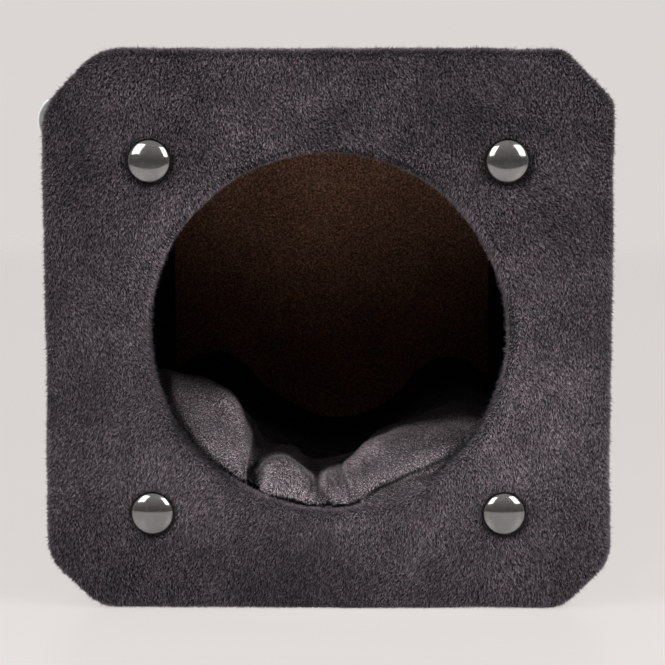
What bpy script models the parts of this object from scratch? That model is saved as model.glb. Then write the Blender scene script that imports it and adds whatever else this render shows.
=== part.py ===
"""A cat scratching tunnel: two plush-wrapped end panels hold a box of boards between them.

The origin is on the floor, midway between the panels. +Z is up, the entrance faces -Y, and +X is
to the right of someone who looks in. Lengths are in metres.
"""

import math

import bmesh
import bpy
from mathutils import Vector

# Gap between pieces that touch
CLEAR = 0.0003

# Sheet and board thicknesses
BOARD_T = 0.016
WALL_T = 0.012
PLUSH_T = 0.003
LINING_T = 0.003
MAT_T = 0.0045
UNDER_T = 0.002

# The entrance, which sets the width of the box
HOLE_RADIUS = 0.110
HOLE_RISE = 0.0025  # its centre above the centre of the box
HOLE_MARGIN = 0.008  # plush folded over round it, on the back of the board
HOLE_SIDE_ROOM = 0.0044  # from that plush to the lining
HOLE_TOP_ROOM = 0.0077  # from that plush to the top wall
RIM_ROUND = 0.004

# The box between the panels
BODY_LENGTH = 0.400
BODY_BASE = 0.030  # underside of the floor board above the floor
BOARD_ARRIS = 0.0008
MAT_INSET = 0.0045  # from a panel board to the end of a mat

# The end panels
SIDE_OVERHANG = 0.0292  # how far a panel reaches past the side mats
TOP_OVERHANG = 0.0312  # how far a panel reaches past the top mat
CORNER_CUT = 0.032  # leg of the cut across each corner
CORNER_ROUND = 0.034  # radius at both ends of that cut
EDGE_ROUND = 0.005  # of the plush over the board's edges
BOARD_CHAMFER = 0.0025
WINDOW_GAP = 0.001  # from the box to the plush folded over behind a panel

# Screws, seats, caps, inserts and the corner blocks behind them
SCREW_INSET = 0.0195  # from the inner faces of the walls to each screw
SHANK_RADIUS = 0.003
SHANK_REACH = 0.021  # into the block
HEAD_RADIUS = 0.006
HEAD_T = 0.0031
SOCKET_RADIUS = 0.0023
SOCKET_DEPTH = 0.0016
SEAT_RADIUS = 0.0095
SEAT_FLOOR = 0.002
SEAT_RISE = 0.0012  # above the plush
SEAT_WALL = 0.0025
SEAT_HOLE_RADIUS = 0.011  # in the plush
CAP_RADIUS = 0.013
CAP_RISE = 0.006
CAP_SKIRT = 0.0007
CAP_T = 0.0008
INSERT_RADIUS = 0.0046
INSERT_LENGTH = 0.012
BLOCK_LENGTH = 0.032
BLOCK_CHAMFER = 0.014
BORE_LENGTH = 0.025

# The clear disc behind the front panel, and its pin
TAG_RADIUS = 0.017
TAG_T = 0.0008
TAG_RIM_T = 0.0012
TAG_RIM_WIDTH = 0.0014
TAG_GAP = 0.0007  # from the disc to the side mat
TAG_DROP = 0.0135  # from the pin to the disc's centre
TAG_PIN_DOWN = 0.0305  # from the panel's top to the pin
PIN_RADIUS = 0.0012
PIN_DEPTH = 0.006  # into the board
PIN_HEAD_RADIUS = 0.003
PIN_HEAD_T = 0.0012

# The cushion
CUSHION_SIDE_GAP = 0.0007
CUSHION_END_GAP = 0.006
CUSHION_NOTCH_GAP = 0.001
CUSHION_WAIST = 0.004  # how far its sides draw in between the corners
CUSHION_FOOT_ROUND = 0.010
CUSHION_END_ROUND = 0.006
LEFT_FOLD = 0.026  # length of its rounded ends, at the left and the right
RIGHT_FOLD = 0.052
LEFT_FOLD_FILL = 0.72  # height of the very end, as a share of the height past the fold
RIGHT_FOLD_FILL = 0.42
RUFFLE_SHARE = -0.24  # where the bunched cloth at the front stands, from left to right
RUFFLE_ALONG = 0.024
RUFFLE_RADIUS = 0.026
RUFFLE_RISE = 0.010
# Height of its top above the floor board, from the left side (-1) to the right side (1)
FRONT_CREST = (
    (-1.00, 0.086), (-0.88, 0.101), (-0.72, 0.098), (-0.55, 0.089), (-0.44, 0.066), (-0.37, 0.043),
    (-0.24, 0.041), (-0.08, 0.036), (0.10, 0.043), (0.28, 0.060), (0.50, 0.068), (0.74, 0.070),
    (1.00, 0.052),
)
REAR_CREST = (
    (-1.00, 0.052), (-0.82, 0.068), (-0.60, 0.064), (-0.38, 0.036), (0.00, 0.017), (0.38, 0.034),
    (0.60, 0.060), (0.82, 0.066), (1.00, 0.050),
)
FRONT_CREST_ENDS = 0.060  # the front crest holds this far back
REAR_CREST_STARTS = 0.165

# Facets
FILLET_STEPS = 3
EDGE_STEPS = 2
HOLE_STEPS = 48
BOLT_STEPS = 12
CAP_STEPS = 16
CAP_RINGS = 3
TAG_STEPS = 28
CUSHION_STATIONS = 26
CUSHION_TOP_STEPS = 28
CUSHION_BASE_STEPS = 8
TOP_REACH = 0.97  # share of the half width that the top points span
TOP_SPREAD = 0.62  # how evenly they are spread
END_CROWDING = 0.08  # how much the slices crowd towards the ends
SHARP_ANGLE = math.radians(40)
CUTTER_REACH = 0.002  # how far a cutter runs past what it cuts

# Sizes that follow from those above
FOLD_RADIUS = HOLE_RADIUS + PLUSH_T + CLEAR + HOLE_MARGIN
INNER_HALF_WIDTH = FOLD_RADIUS + HOLE_SIDE_ROOM + LINING_T + CLEAR
INNER_HALF_HEIGHT = FOLD_RADIUS + HOLE_TOP_ROOM
BODY_HALF_WIDTH = INNER_HALF_WIDTH + WALL_T
BODY_HALF_HEIGHT = INNER_HALF_HEIGHT + WALL_T
BODY_CENTRE = BODY_BASE + BODY_HALF_HEIGHT
FLOOR_TOP = BODY_BASE + WALL_T
CEILING = BODY_CENTRE + INNER_HALF_HEIGHT
BODY_TOP = BODY_CENTRE + BODY_HALF_HEIGHT
MAT_OUT = BODY_HALF_WIDTH + CLEAR + MAT_T
PANEL_HALF_WIDTH = MAT_OUT + SIDE_OVERHANG
PANEL_TOP = BODY_TOP + CLEAR + MAT_T + TOP_OVERHANG
HOLE_CENTRE = BODY_CENTRE + HOLE_RISE
LINED_HALF_WIDTH = INNER_HALF_WIDTH - CLEAR - LINING_T

# Depths inward from the plush face of a panel
BOARD_OUTER = PLUSH_T + CLEAR
MID_BOARD = BOARD_OUTER + BOARD_T / 2
BOARD_INNER = BOARD_OUTER + BOARD_T
BODY_END = BOARD_INNER + CLEAR
PANEL_T = BODY_END + PLUSH_T
HALF_LENGTH = BODY_LENGTH / 2 + BODY_END

SCREW_X = INNER_HALF_WIDTH - SCREW_INSET
SCREW_Z = INNER_HALF_HEIGHT - SCREW_INSET
BLOCK_HALF = SCREW_INSET - CLEAR
TAG_X = -(MAT_OUT + TAG_GAP + TAG_RADIUS)
TAG_PIN_Z = PANEL_TOP - TAG_PIN_DOWN

ENDS = {"front": -1, "rear": 1}
LEVELS = {"top": 1, "bottom": -1}
HANDS = {"left": -1, "right": 1}


def clear_scene():
    for old in list(bpy.data.objects):
        bpy.data.objects.remove(old)


def material(name, colour, roughness, metallic=0.0, alpha=1.0):
    made = bpy.data.materials.new(name)
    made.use_nodes = True
    shader = made.node_tree.nodes["Principled BSDF"]
    shader.inputs["Base Color"].default_value = (*colour, 1.0)
    shader.inputs["Roughness"].default_value = roughness
    shader.inputs["Metallic"].default_value = metallic
    shader.inputs["Alpha"].default_value = alpha
    made.diffuse_color = (*colour, alpha)
    return made


def add_object(name, bm, finish=None, smooth=False):
    """Turns a bmesh into an object whose faces point out."""
    bmesh.ops.recalc_face_normals(bm, faces=bm.faces)
    mesh = bpy.data.meshes.new(name)
    bm.to_mesh(mesh)
    bm.free()
    if smooth:
        mesh.shade_smooth()
        mesh.set_sharp_from_angle(angle=SHARP_ANGLE)
    made = bpy.data.objects.new(name, mesh)
    bpy.context.scene.collection.objects.link(made)
    if finish:
        mesh.materials.append(finish)
    return made


def as_cutter(made):
    made.hide_render = True
    made.display_type = "WIRE"
    return made


def cut(target, *cutters):
    for cutter in cutters:
        step = target.modifiers.new(cutter.name, "BOOLEAN")
        step.operation = "DIFFERENCE"
        step.solver = "EXACT"
        step.object = cutter


def skin_loops(bm, loops):
    """Joins loops of equal length with quads, and caps the first and the last."""
    rings = [[bm.verts.new(point) for point in loop] for loop in loops]
    for near, far in zip(rings, rings[1:]):
        for i in range(len(near)):
            j = (i + 1) % len(near)
            bm.faces.new((near[i], near[j], far[j], far[i]))
    bm.faces.new(rings[0])
    bm.faces.new(reversed(rings[-1]))


def ring_points(radius, depth, steps, centre=(0.0, 0.0)):
    """A circle round the local Z axis, or round a line beside it."""
    turns = [math.tau * i / steps for i in range(steps)]
    return [(centre[0] + radius * math.cos(a), centre[1] + radius * math.sin(a), depth) for a in turns]


def turned(bm, profile, steps, centre=(0.0, 0.0)):
    """Turns (radius, depth) points round the local Z: a chain between points on it, or a ring."""
    on_axis = profile[0][0] == 0
    rings = []
    for radius, depth in profile:
        if radius == 0:
            rings.append([bm.verts.new((*centre, depth))])
        else:
            rings.append([bm.verts.new(p) for p in ring_points(radius, depth, steps, centre)])
    pairs = list(zip(rings, rings[1:]))
    if not on_axis:
        pairs.append((rings[-1], rings[0]))
    for near, far in pairs:
        for i in range(steps):
            j = (i + 1) % steps
            corners = [near[i % len(near)], near[j % len(near)], far[j % len(far)], far[i % len(far)]]
            bm.faces.new(list(dict.fromkeys(corners)))


def face_out(made, end, x, z, depth=0.0):
    """Places a turned piece on a panel, with its local Z pointing out of the panel's plush face."""
    made.location = (x, end * (HALF_LENGTH - depth), z)
    made.rotation_euler = (-end * math.pi / 2, 0, 0)
    return made


def box(name, low, high, finish):
    bm = bmesh.new()
    bmesh.ops.create_cube(bm, size=1)
    size = Vector(high) - Vector(low)
    bmesh.ops.scale(bm, vec=size, verts=bm.verts)
    bmesh.ops.bevel(bm, geom=bm.edges[:], offset=BOARD_ARRIS, segments=1, affect="EDGES")
    made = add_object(name, bm, finish)
    made.location = (Vector(high) + Vector(low)) / 2
    return made


def panel_outline(inset):
    """The panel's outline in X and Z, drawn in by inset: a rectangle with cut, rounded corners."""
    half_x = PANEL_HALF_WIDTH - inset
    half_z = PANEL_TOP / 2 - inset
    leg = CORNER_CUT - inset * (2 - math.sqrt(2))
    radius = CORNER_ROUND - inset
    run = radius * math.tan(math.pi / 8)
    corner = []
    for centre_x, centre_z, start in (
        (half_x - radius, half_z - leg - run, 0.0),
        (half_x - leg - run, half_z - radius, math.pi / 4),
    ):
        for i in range(FILLET_STEPS + 1):
            a = start + math.pi / 4 * i / FILLET_STEPS
            corner.append((centre_x + radius * math.cos(a), centre_z + radius * math.sin(a)))
    points = []
    for sign_x, sign_z in ((1, 1), (-1, 1), (-1, -1), (1, -1)):
        quarter = [(sign_x * x, sign_z * z + PANEL_TOP / 2) for x, z in corner]
        points += quarter if sign_x == sign_z else reversed(quarter)
    return points


def panel_plate(name, end, layers, finish=None):
    """A plate of the panel's outline: layers are (inset, depth from the plush face)."""
    loops = []
    for inset, depth in layers:
        y = end * (HALF_LENGTH - depth)
        loops.append([(x, y, z) for x, z in panel_outline(inset)])
    bm = bmesh.new()
    skin_loops(bm, loops)
    return add_object(name, bm, finish)


def rounded_edge(radius):
    """(inset, depth) points of a quarter round, from the face to the side."""
    angles = [math.pi / 2 * i / EDGE_STEPS for i in range(EDGE_STEPS + 1)]
    return [(radius * (1 - math.sin(a)), radius * (1 - math.cos(a))) for a in angles]


def chamfered_edge(leg):
    return [(leg, 0), (0, leg)]


def plate_layers(edge, inset, outer, inner):
    """Layers of a plate from depth outer to inner, with the same edge at both faces."""
    layers = [(inset + drawn, outer + depth) for drawn, depth in edge]
    return layers + [(inset + drawn, inner - depth) for drawn, depth in reversed(edge)]


def hole_cutter(name, end, radius, flare, outer, inner):
    """Cuts the entrance, widened at both faces by the edge that flare gives."""
    profile = [(0, CUTTER_REACH - outer)]
    profile.append((radius + flare[0][0], CUTTER_REACH - outer))
    profile += [(radius + widen, -outer - depth) for widen, depth in flare]
    profile += [(radius + widen, depth - inner) for widen, depth in reversed(flare)]
    profile.append((radius + flare[0][0], -inner - CUTTER_REACH))
    profile.append((0, -inner - CUTTER_REACH))
    bm = bmesh.new()
    turned(bm, profile, HOLE_STEPS)
    return as_cutter(face_out(add_object(name, bm), end, 0, HOLE_CENTRE))


def drill(name, end, places, radius, outer, inner, steps=BOLT_STEPS):
    """Cuts a round hole at each place, from depth outer to inner."""
    bm = bmesh.new()
    for x, z in places:
        skin_loops(bm, [ring_points(radius, -depth, steps, (x, -end * z)) for depth in (outer, inner)])
    return as_cutter(face_out(add_object(name, bm), end, 0, 0))


def screw_places():
    heights = [BODY_CENTRE + level * SCREW_Z for level in LEVELS.values()]
    return [(hand * SCREW_X, z) for z in heights for hand in HANDS.values()]


def window_cutter(name, end, island):
    """Cuts the plush away behind a panel where the box meets the board, but leaves the island."""
    half_x = MAT_OUT + WINDOW_GAP
    low = BODY_BASE - CLEAR - UNDER_T - WINDOW_GAP
    high = BODY_TOP + CLEAR + MAT_T + WINDOW_GAP
    loops = []
    for depth in (MID_BOARD, PANEL_T + CUTTER_REACH):
        y = end * (HALF_LENGTH - depth)
        loops.append([(-half_x, y, low), (half_x, y, low), (half_x, y, high), (-half_x, y, high)])
    bm = bmesh.new()
    skin_loops(bm, loops)
    made = as_cutter(add_object(name, bm))
    if island:
        cut(made, island)
    return made


def pin_hole(name, outer, inner):
    return drill(name, ENDS["front"], [(TAG_X, TAG_PIN_Z)], PIN_RADIUS + CLEAR, outer, inner)


def panel_board(end_name, finish):
    end = ENDS[end_name]
    edge = chamfered_edge(BOARD_CHAMFER)
    layers = plate_layers(edge, BOARD_OUTER, BOARD_OUTER, BOARD_INNER)
    made = panel_plate(f"{end_name}_board", end, layers, finish)
    cut(made, drill(f"cut_{end_name}_screws", end, screw_places(), SHANK_RADIUS + CLEAR, 0, PANEL_T))
    if end_name == "front":
        radius = HOLE_RADIUS + BOARD_OUTER
        cut(made, hole_cutter("cut_board_hole", end, radius, edge, BOARD_OUTER, BOARD_INNER))
        cut(made, pin_hole("cut_board_pin", BOARD_INNER - PIN_DEPTH - CLEAR, PANEL_T))
    return made


def panel_cover(end_name, finish):
    """The plush round a panel board: face, edges and margins folded over on the back."""
    end = ENDS[end_name]
    layers = plate_layers(rounded_edge(EDGE_ROUND), 0, 0, PANEL_T)
    made = panel_plate(f"{end_name}_cover", end, layers, finish)
    edge = chamfered_edge(BOARD_CHAMFER)
    layers = plate_layers(edge, PLUSH_T, PLUSH_T, BODY_END)
    cavity = as_cutter(panel_plate(f"cut_{end_name}_cavity", end, layers))
    island = None
    if end_name == "front":
        cut(cavity, hole_cutter("cut_cavity_hole", end, HOLE_RADIUS + PLUSH_T, edge, PLUSH_T, BODY_END))
        far = PANEL_T + 2 * CUTTER_REACH
        island = drill("cut_window_island", end, [(0, HOLE_CENTRE)], FOLD_RADIUS, 0, far, HOLE_STEPS)
    window = window_cutter(f"cut_{end_name}_window", end, island)
    seats = drill(f"cut_{end_name}_seats", end, screw_places(), SEAT_HOLE_RADIUS, -CUTTER_REACH, MID_BOARD)
    cut(made, cavity, window, seats)
    if end_name == "front":
        cut(made, hole_cutter("cut_cover_hole", end, HOLE_RADIUS, rounded_edge(RIM_ROUND), 0, PANEL_T))
        cut(made, pin_hole("cut_cover_pin", MID_BOARD, PANEL_T + CUTTER_REACH))
    return made


def build_box(board, plush, sisal, felt):
    """The four walls, the linings inside, the mats outside and the felt underneath."""
    end = BODY_LENGTH / 2
    mat_end = HALF_LENGTH - BOARD_INNER - MAT_INSET
    layers = (
        ("top_wall", end, CEILING, WALL_T, board),
        ("floor_board", end, BODY_BASE, WALL_T, board),
        ("top_mat", mat_end, BODY_TOP + CLEAR, MAT_T, sisal),
        ("under_cover", mat_end, BODY_BASE - CLEAR - UNDER_T, UNDER_T, felt),
    )
    for name, reach, low, thickness, finish in layers:
        box(name, (-BODY_HALF_WIDTH, -reach, low), (BODY_HALF_WIDTH, reach, low + thickness), finish)
    for hand_name, hand in HANDS.items():
        wall = sorted((hand * INNER_HALF_WIDTH, hand * BODY_HALF_WIDTH))
        box(f"{hand_name}_wall", (wall[0], -end, FLOOR_TOP + CLEAR), (wall[1], end, CEILING - CLEAR), board)
        mat = sorted((hand * (BODY_HALF_WIDTH + CLEAR), hand * MAT_OUT))
        box(f"{hand_name}_mat", (mat[0], -mat_end, BODY_BASE), (mat[1], mat_end, BODY_TOP), sisal)
        build_lining(hand_name, plush)


def build_lining(hand_name, plush):
    """Plush on the inside of a side wall, notched round the corner blocks."""
    hand = HANDS[hand_name]
    low = FLOOR_TOP + CLEAR
    high = CEILING - CLEAR
    end = BODY_LENGTH / 2
    notch_y = BLOCK_LENGTH + CLEAR
    notch_z = 2 * BLOCK_HALF + 2 * CLEAR
    half = (high - low) / 2
    quarter = [(end, half - notch_z), (end - notch_y, half - notch_z), (end - notch_y, half)]
    points = []
    for sign_y, sign_z in ((1, 1), (-1, 1), (-1, -1), (1, -1)):
        corner = [(sign_y * y, sign_z * z + (low + high) / 2) for y, z in quarter]
        points += corner if sign_y == sign_z else reversed(corner)
    faces = (INNER_HALF_WIDTH - CLEAR, LINED_HALF_WIDTH)
    bm = bmesh.new()
    skin_loops(bm, [[(hand * x, y, z) for y, z in points] for x in faces])
    add_object(f"{hand_name}_lining", bm, plush)


def corner_block(name, end, level, hand, bore, finish):
    """A block in the corner of the box, its inner edge cut off, bored for the insert."""
    low = -BLOCK_HALF
    high = BLOCK_HALF
    outline = [(high, high), (low, high), (low, low + BLOCK_CHAMFER), (low + BLOCK_CHAMFER, low), (high, low)]
    x = hand * SCREW_X
    z = BODY_CENTRE + level * SCREW_Z
    bm = bmesh.new()
    skin_loops(bm, [[(hand * u, end * y, level * v) for u, v in outline] for y in (0, -BLOCK_LENGTH)])
    made = add_object(name, bm, finish)
    made.location = (x, end * (HALF_LENGTH - BODY_END), z)
    cut(made, bore)


def screw_profile():
    under_head = -BOARD_OUTER + CLEAR + SEAT_FLOOR + CLEAR
    top = under_head + HEAD_T
    return [
        (0, -BODY_END - SHANK_REACH),
        (SHANK_RADIUS, -BODY_END - SHANK_REACH),
        (SHANK_RADIUS, under_head),
        (HEAD_RADIUS, under_head),
        (HEAD_RADIUS, top),
        (SOCKET_RADIUS, top),
        (SOCKET_RADIUS, top - SOCKET_DEPTH),
        (0, top - SOCKET_DEPTH),
    ]


def seat_profile():
    base = -BOARD_OUTER + CLEAR
    bore = SHANK_RADIUS + CLEAR
    return [
        (bore, base),
        (SEAT_RADIUS, base),
        (SEAT_RADIUS, SEAT_RISE),
        (SEAT_RADIUS - SEAT_WALL, SEAT_RISE),
        (SEAT_RADIUS - SEAT_WALL, base + SEAT_FLOOR),
        (bore, base + SEAT_FLOOR),
    ]


def cap_profile():
    """A hollow dome with a flange that snaps round the seat."""
    angles = [math.pi / 2 * (1 - i / CAP_RINGS) for i in range(1, CAP_RINGS + 1)]
    base = CLEAR + CAP_SKIRT
    outer = [(CAP_RADIUS * math.cos(a), base + CAP_RISE * math.sin(a)) for a in angles]
    inner_radius = CAP_RADIUS - CAP_T
    inner_base = CLEAR + CAP_T
    inner_rise = base + CAP_RISE - CAP_T - inner_base
    inner = [(inner_radius * math.cos(a), inner_base + inner_rise * math.sin(a)) for a in reversed(angles)]
    grip = SEAT_RADIUS + CLEAR
    return (
        [(0, base + CAP_RISE)]
        + outer
        + [(CAP_RADIUS, CLEAR), (grip, CLEAR), (grip, inner_base)]
        + inner
        + [(0, inner_base + inner_rise)]
    )


def insert_profile():
    outer = -BODY_END - CLEAR
    inner = outer - INSERT_LENGTH
    bore = SHANK_RADIUS + CLEAR
    return [(bore, outer), (INSERT_RADIUS, outer), (INSERT_RADIUS, inner), (bore, inner)]


def build_fastenings(board, steel, nickel, brass):
    pieces = (
        ("screw", screw_profile(), BOLT_STEPS, steel),
        ("cap_seat", seat_profile(), BOLT_STEPS, steel),
        ("dome_cap", cap_profile(), CAP_STEPS, nickel),
        ("insert", insert_profile(), BOLT_STEPS, brass),
    )
    for end_name, end in ENDS.items():
        outer = BODY_END - CUTTER_REACH
        inner = BODY_END + BORE_LENGTH
        bores = drill(f"cut_{end_name}_bores", end, screw_places(), INSERT_RADIUS + CLEAR, outer, inner)
        for level_name, level in LEVELS.items():
            for hand_name, hand in HANDS.items():
                place = f"{end_name}_{level_name}_{hand_name}"
                corner_block(f"{place}_block", end, level, hand, bores, board)
                for piece, profile, steps, finish in pieces:
                    bm = bmesh.new()
                    turned(bm, profile, steps)
                    made = add_object(f"{place}_{piece}", bm, finish, smooth=True)
                    face_out(made, end, hand * SCREW_X, BODY_CENTRE + level * SCREW_Z)


def build_tag(clear, plastic):
    """The disc and its pin: local Z points out of the panel, so the disc's depths are negative."""
    front = -PANEL_T - CLEAR
    bm = bmesh.new()
    profile = [
        (0, 0),
        (TAG_RADIUS, 0),
        (TAG_RADIUS, -TAG_RIM_T),
        (TAG_RADIUS - TAG_RIM_WIDTH, -TAG_RIM_T),
        (TAG_RADIUS - TAG_RIM_WIDTH, -TAG_T),
        (0, -TAG_T),
    ]
    turned(bm, profile, TAG_STEPS, (0, TAG_DROP * ENDS["front"]))
    disc = add_object("tag_disc", bm, clear, smooth=True)
    face_out(disc, ENDS["front"], TAG_X, TAG_PIN_Z, -front)
    cut(disc, pin_hole("cut_tag_pin", PANEL_T - CUTTER_REACH, PANEL_T + TAG_RIM_T + CUTTER_REACH))
    head = front - TAG_RIM_T - CLEAR
    bm = bmesh.new()
    profile = [
        (0, -BOARD_INNER + PIN_DEPTH),
        (PIN_RADIUS, -BOARD_INNER + PIN_DEPTH),
        (PIN_RADIUS, head),
        (PIN_HEAD_RADIUS, head),
        (PIN_HEAD_RADIUS, head - PIN_HEAD_T),
        (0, head - PIN_HEAD_T),
    ]
    turned(bm, profile, BOLT_STEPS)
    face_out(add_object("tag_pin", bm, plastic, smooth=True), ENDS["front"], TAG_X, TAG_PIN_Z)


def smooth_height(crest, at):
    """Reads a crest between its points with a curve that passes through them."""
    last = len(crest) - 1
    i = next((k for k in range(last) if at <= crest[k + 1][0]), last - 1)
    before, here, there, after = (crest[min(max(k, 0), last)] for k in (i - 1, i, i + 1, i + 2))
    span = there[0] - here[0]
    t = min(max((at - here[0]) / span, 0.0), 1.0)
    slope_here = (there[1] - before[1]) / (there[0] - before[0]) * span
    slope_there = (after[1] - here[1]) / (after[0] - here[0]) * span
    return (
        here[1] * (2 * t**3 - 3 * t**2 + 1)
        + slope_here * (t**3 - 2 * t**2 + t)
        + there[1] * (3 * t**2 - 2 * t**3)
        + slope_there * (t**3 - t**2)
    )


def ease(t):
    t = min(max(t, 0.0), 1.0)
    return t * t * (3 - 2 * t)


def cushion_height(share, along, length):
    """Height of the cushion's top, from the left side (-1) to the right (1) and from front to rear."""
    back = ease((along - FRONT_CREST_ENDS) / (REAR_CREST_STARTS - FRONT_CREST_ENDS))
    crest = smooth_height(FRONT_CREST, share) * (1 - back) + smooth_height(REAR_CREST, share) * back
    rightward = ease((share + 1) / 2)
    fold = LEFT_FOLD + (RIGHT_FOLD - LEFT_FOLD) * rightward
    low = LEFT_FOLD_FILL + (RIGHT_FOLD_FILL - LEFT_FOLD_FILL) * rightward
    to_end = min(along, length - along)
    crest *= low + (1 - low) * math.sqrt(1 - (1 - min(to_end / fold, 1.0)) ** 2)
    away = math.hypot((share - RUFFLE_SHARE) * LINED_HALF_WIDTH, along - RUFFLE_ALONG) / RUFFLE_RADIUS
    return crest + RUFFLE_RISE * ease(1 - away)


def cushion_section(along, length):
    """One slice across the cushion: flat base, drawn-in sides, folded-up lobes and a sunken middle."""
    half = LINED_HALF_WIDTH - CUSHION_SIDE_GAP - CUSHION_WAIST * math.sin(math.pi * along / length) ** 2
    foot = half - CUSHION_FOOT_ROUND
    to_end = min(along, length - along)
    lift = CUSHION_END_ROUND * (1 - math.sqrt(1 - (1 - min(to_end / CUSHION_END_ROUND, 1.0)) ** 2))
    points = [(foot * (2 * i / CUSHION_BASE_STEPS - 1), lift) for i in range(CUSHION_BASE_STEPS + 1)]
    left, right = (cushion_height(hand, along, length) - CUSHION_FOOT_ROUND / 2 for hand in (-1, 1))
    points += [(half, lift + CUSHION_FOOT_ROUND), (half, right)]
    for i in range(CUSHION_TOP_STEPS + 1):
        even = 1 - 2 * i / CUSHION_TOP_STEPS
        share = TOP_SPREAD * even + (TOP_REACH - TOP_SPREAD) * math.sin(math.pi / 2 * even)
        points.append((half * share, cushion_height(share, along, length)))
    points += [(-half, left), (-half, lift + CUSHION_FOOT_ROUND)]
    return points


def build_cushion(plush):
    length = BODY_LENGTH - 2 * CUSHION_END_GAP
    stations = []
    for i in range(CUSHION_STATIONS + 1):
        share = i / CUSHION_STATIONS
        along = length * (share - math.sin(math.tau * share) * END_CROWDING)
        stations.append([(x, along - length / 2, z) for x, z in cushion_section(along, length)])
    bm = bmesh.new()
    skin_loops(bm, stations)
    made = add_object("cushion", bm, plush, smooth=True)
    made.location = (0, 0, FLOOR_TOP + CLEAR)
    cut(made, block_clearance())


def block_clearance():
    """Cuts the cushion round the lower corner blocks, open downward and sideways."""
    bm = bmesh.new()
    inner = SCREW_X - BLOCK_HALF - CUSHION_NOTCH_GAP
    outer = INNER_HALF_WIDTH + CUTTER_REACH
    near = BODY_LENGTH / 2 - BLOCK_LENGTH - CUSHION_NOTCH_GAP
    far = BODY_LENGTH / 2 + CUTTER_REACH
    high = BODY_CENTRE - SCREW_Z + BLOCK_HALF + CUSHION_NOTCH_GAP
    low = FLOOR_TOP - CUTTER_REACH
    corners = ((inner, near), (outer, near), (outer, far), (inner, far))
    for hand in HANDS.values():
        for end in ENDS.values():
            skin_loops(bm, [[(hand * x, end * y, z) for x, y in corners] for z in (low, high)])
    return as_cutter(add_object("cut_cushion_blocks", bm))


def build():
    clear_scene()
    plush = material("dark_plush", (0.062, 0.058, 0.066), 0.95)
    lining = material("lining_plush", (0.030, 0.028, 0.032), 0.95)
    board = material("brown_board", (0.20, 0.13, 0.075), 0.85)
    sisal = material("sisal", (0.42, 0.33, 0.20), 0.9)
    felt = material("felt", (0.03, 0.03, 0.033), 0.95)
    steel = material("steel", (0.45, 0.45, 0.46), 0.35, 1.0)
    nickel = material("polished_nickel", (0.62, 0.61, 0.60), 0.12, 1.0)
    brass = material("brass", (0.62, 0.45, 0.20), 0.35, 1.0)
    clear = material("clear_plastic", (0.85, 0.87, 0.88), 0.15, 0.0, 0.5)
    plastic = material("nylon", (0.8, 0.8, 0.8), 0.5)
    for end_name in ENDS:
        panel_board(end_name, board)
        panel_cover(end_name, plush)
    build_box(board, lining, sisal, felt)
    build_fastenings(board, steel, nickel, brass)
    build_tag(clear, plastic)
    build_cushion(plush)


build()
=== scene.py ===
import math
from collections import namedtuple

import bmesh
import bpy
import numpy as np
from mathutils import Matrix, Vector


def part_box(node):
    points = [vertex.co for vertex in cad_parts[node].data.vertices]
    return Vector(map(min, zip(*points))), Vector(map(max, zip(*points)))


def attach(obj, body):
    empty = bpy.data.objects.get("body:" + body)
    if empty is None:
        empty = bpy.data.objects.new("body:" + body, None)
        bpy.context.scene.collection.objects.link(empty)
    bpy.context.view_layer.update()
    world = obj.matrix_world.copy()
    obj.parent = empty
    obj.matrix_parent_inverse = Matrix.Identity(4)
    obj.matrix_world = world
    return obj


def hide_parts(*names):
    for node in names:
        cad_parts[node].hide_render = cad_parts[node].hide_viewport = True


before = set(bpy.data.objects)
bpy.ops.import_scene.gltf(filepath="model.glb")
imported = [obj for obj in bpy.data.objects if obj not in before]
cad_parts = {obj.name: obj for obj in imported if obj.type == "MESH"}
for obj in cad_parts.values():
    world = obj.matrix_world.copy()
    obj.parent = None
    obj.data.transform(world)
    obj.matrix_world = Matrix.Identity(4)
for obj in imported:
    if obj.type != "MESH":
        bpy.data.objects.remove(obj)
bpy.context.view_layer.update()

# Camera, at the photograph's viewing angle
CAMERA_PLACE = (0.0096, -1.5896, 0.3467)
CAMERA_PITCH = math.radians(7.15)
CAMERA_YAW = math.radians(0.29)
CAMERA_LENS = 121.2

# Room, floor and lamps
WALL_COLOUR = (0.708, 0.672, 0.651, 1)
FLOOR_MIDDLE = 0.6  # the floor disc's centre along Y
FLOOR_RINGS = (0.0002, 0.6, 1.4, 2.2)
FLOOR_FADES = (1.60, 2.15)
BACKDROP_SHARE = 0.78  # of the floor's look; the rest is lit and keeps the shadow
FRONT_SKY = 0.26  # how much of the room's brightness lights the object from the front
WALL_SKY = 0.70  # and from the bright wall's side
TABLE_END = -0.92  # where the pale table ends in front, as polished things mirror it
LAMP_AIM = (0, -0.2, 0.17)

# Plush of the panels
PANEL_SINK = 0.0008  # from the plush's outer surface down to the cloth that the pile grows on
CLOTH_T = 0.0011
BOARD_GAP = 0.0003
RIM_CLOTH_T = 0.0009
FOLD_RUN = 0.002  # over which the cloth turns round an inner edge
EDGE_ROUND = 0.0045
RIM_ROUND = 0.0060
TURNS = 480  # quads round the panel
FACE_RINGS = 56
REAR_START = 0.0006  # radius of the rear panel's first ring
# How far each corner is cut and how far rounded: top right, top left, bottom left, bottom right
CORNERS = ((0.031, 0.013), (0.035, 0.036), (0.032, 0.030), (0.030, 0.026))
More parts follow.
